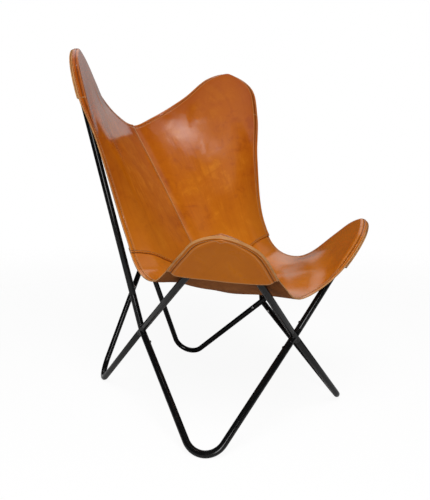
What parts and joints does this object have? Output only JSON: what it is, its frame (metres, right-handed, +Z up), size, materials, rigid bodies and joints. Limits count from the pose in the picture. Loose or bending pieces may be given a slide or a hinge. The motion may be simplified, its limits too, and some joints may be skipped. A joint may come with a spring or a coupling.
{
  "type": "butterfly sling chair",
  "caption": "Low lounge chair: a leather sling with four sewn corner pockets hangs on a screwed frame of bent steel tube.",
  "frame": {"origin": "on the floor, in the middle of the chair's width and depth", "axes": "+Z up; the front faces -Y; +X towards the sitter's left"},
  "size_m": [0.6376, 0.704, 0.9073],
  "materials": {
    "steel_tube": "black powder coat, satin to gloss",
    "screw_zinc": "bright zinc plated",
    "sling_leather": "tan vegetable-tanned leather, waxed to a gloss",
    "pocket_leather": "tan leather, waxed"
  },
  "bodies": {
    "root": {"front_foot_rod_left": "steel_tube", "back_foot_rod_left": "steel_tube", "back_loop_rod_left": "steel_tube", "front_loop_rod_left": "steel_tube", "front_foot_rod_right": "steel_tube", "back_foot_rod_right": "steel_tube", "back_loop_rod_right": "steel_tube", "front_loop_rod_right": "steel_tube", "side_left_connector": "steel_tube", "front_connector": "steel_tube", "back_connector": "steel_tube", "side_right_connector": "steel_tube", "side_left_screw_1": "screw_zinc", "side_left_screw_2": "screw_zinc", "side_left_screw_3": "screw_zinc", "side_left_screw_4": "screw_zinc", "front_screw_1": "screw_zinc", "front_screw_2": "screw_zinc", "front_screw_3": "screw_zinc", "front_screw_4": "screw_zinc", "back_screw_1": "screw_zinc", "back_screw_2": "screw_zinc", "back_screw_3": "screw_zinc", "back_screw_4": "screw_zinc", "side_right_screw_1": "screw_zinc", "side_right_screw_2": "screw_zinc", "side_right_screw_3": "screw_zinc", "side_right_screw_4": "screw_zinc", "seat_panel": "sling_leather", "back_panel_right": "sling_leather", "back_panel_left": "sling_leather", "back_pocket_left": "pocket_leather", "front_pocket_left": "pocket_leather", "back_pocket_right": "pocket_leather", "front_pocket_right": "pocket_leather"}
  },
  "joints": []
}
